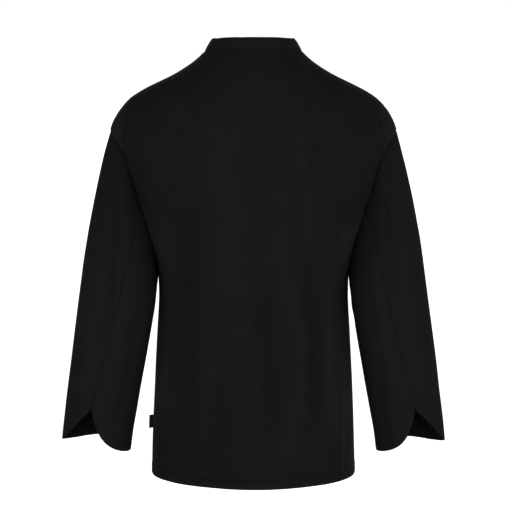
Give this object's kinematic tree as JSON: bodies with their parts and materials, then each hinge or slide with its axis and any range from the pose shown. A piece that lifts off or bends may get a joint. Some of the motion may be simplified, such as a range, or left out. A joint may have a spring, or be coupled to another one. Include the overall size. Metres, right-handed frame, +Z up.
{
  "type": "chef jacket",
  "caption": "Black chef jacket with a stand collar, long two-piece sleeves with notched cuffs, a mesh knit back and a double-breasted front, hollow as worn.",
  "frame": {"origin": "middle of the neck opening, level with the neck points of the shoulder seams", "axes": "+X to the wearer's left, +Y to the wearer's back, +Z up"},
  "size_m": [0.6757, 0.2729, 0.7651],
  "materials": {
    "twill": "fine matt twill, plain black",
    "mesh_knit": "fine matt mesh knit, plain black",
    "button": "satin black with four holes",
    "tab": "folded woven tape, plain"
  },
  "bodies": {
    "root": {"back_panel": "mesh_knit", "shoulder_inset_left": "twill", "shoulder_inset_right": "twill", "front_left": "twill", "front_right": "twill", "sleeve_outer_left": "twill", "sleeve_outer_right": "twill", "sleeve_under_left": "twill", "sleeve_under_right": "twill", "collar": "twill", "side_tab": "tab", "button_left_1": "button", "button_right_1": "button", "button_left_2": "button", "button_right_2": "button", "button_left_3": "button", "button_right_3": "button", "button_left_4": "button", "button_right_4": "button", "button_left_5": "button", "button_right_5": "button"}
  },
  "joints": []
}
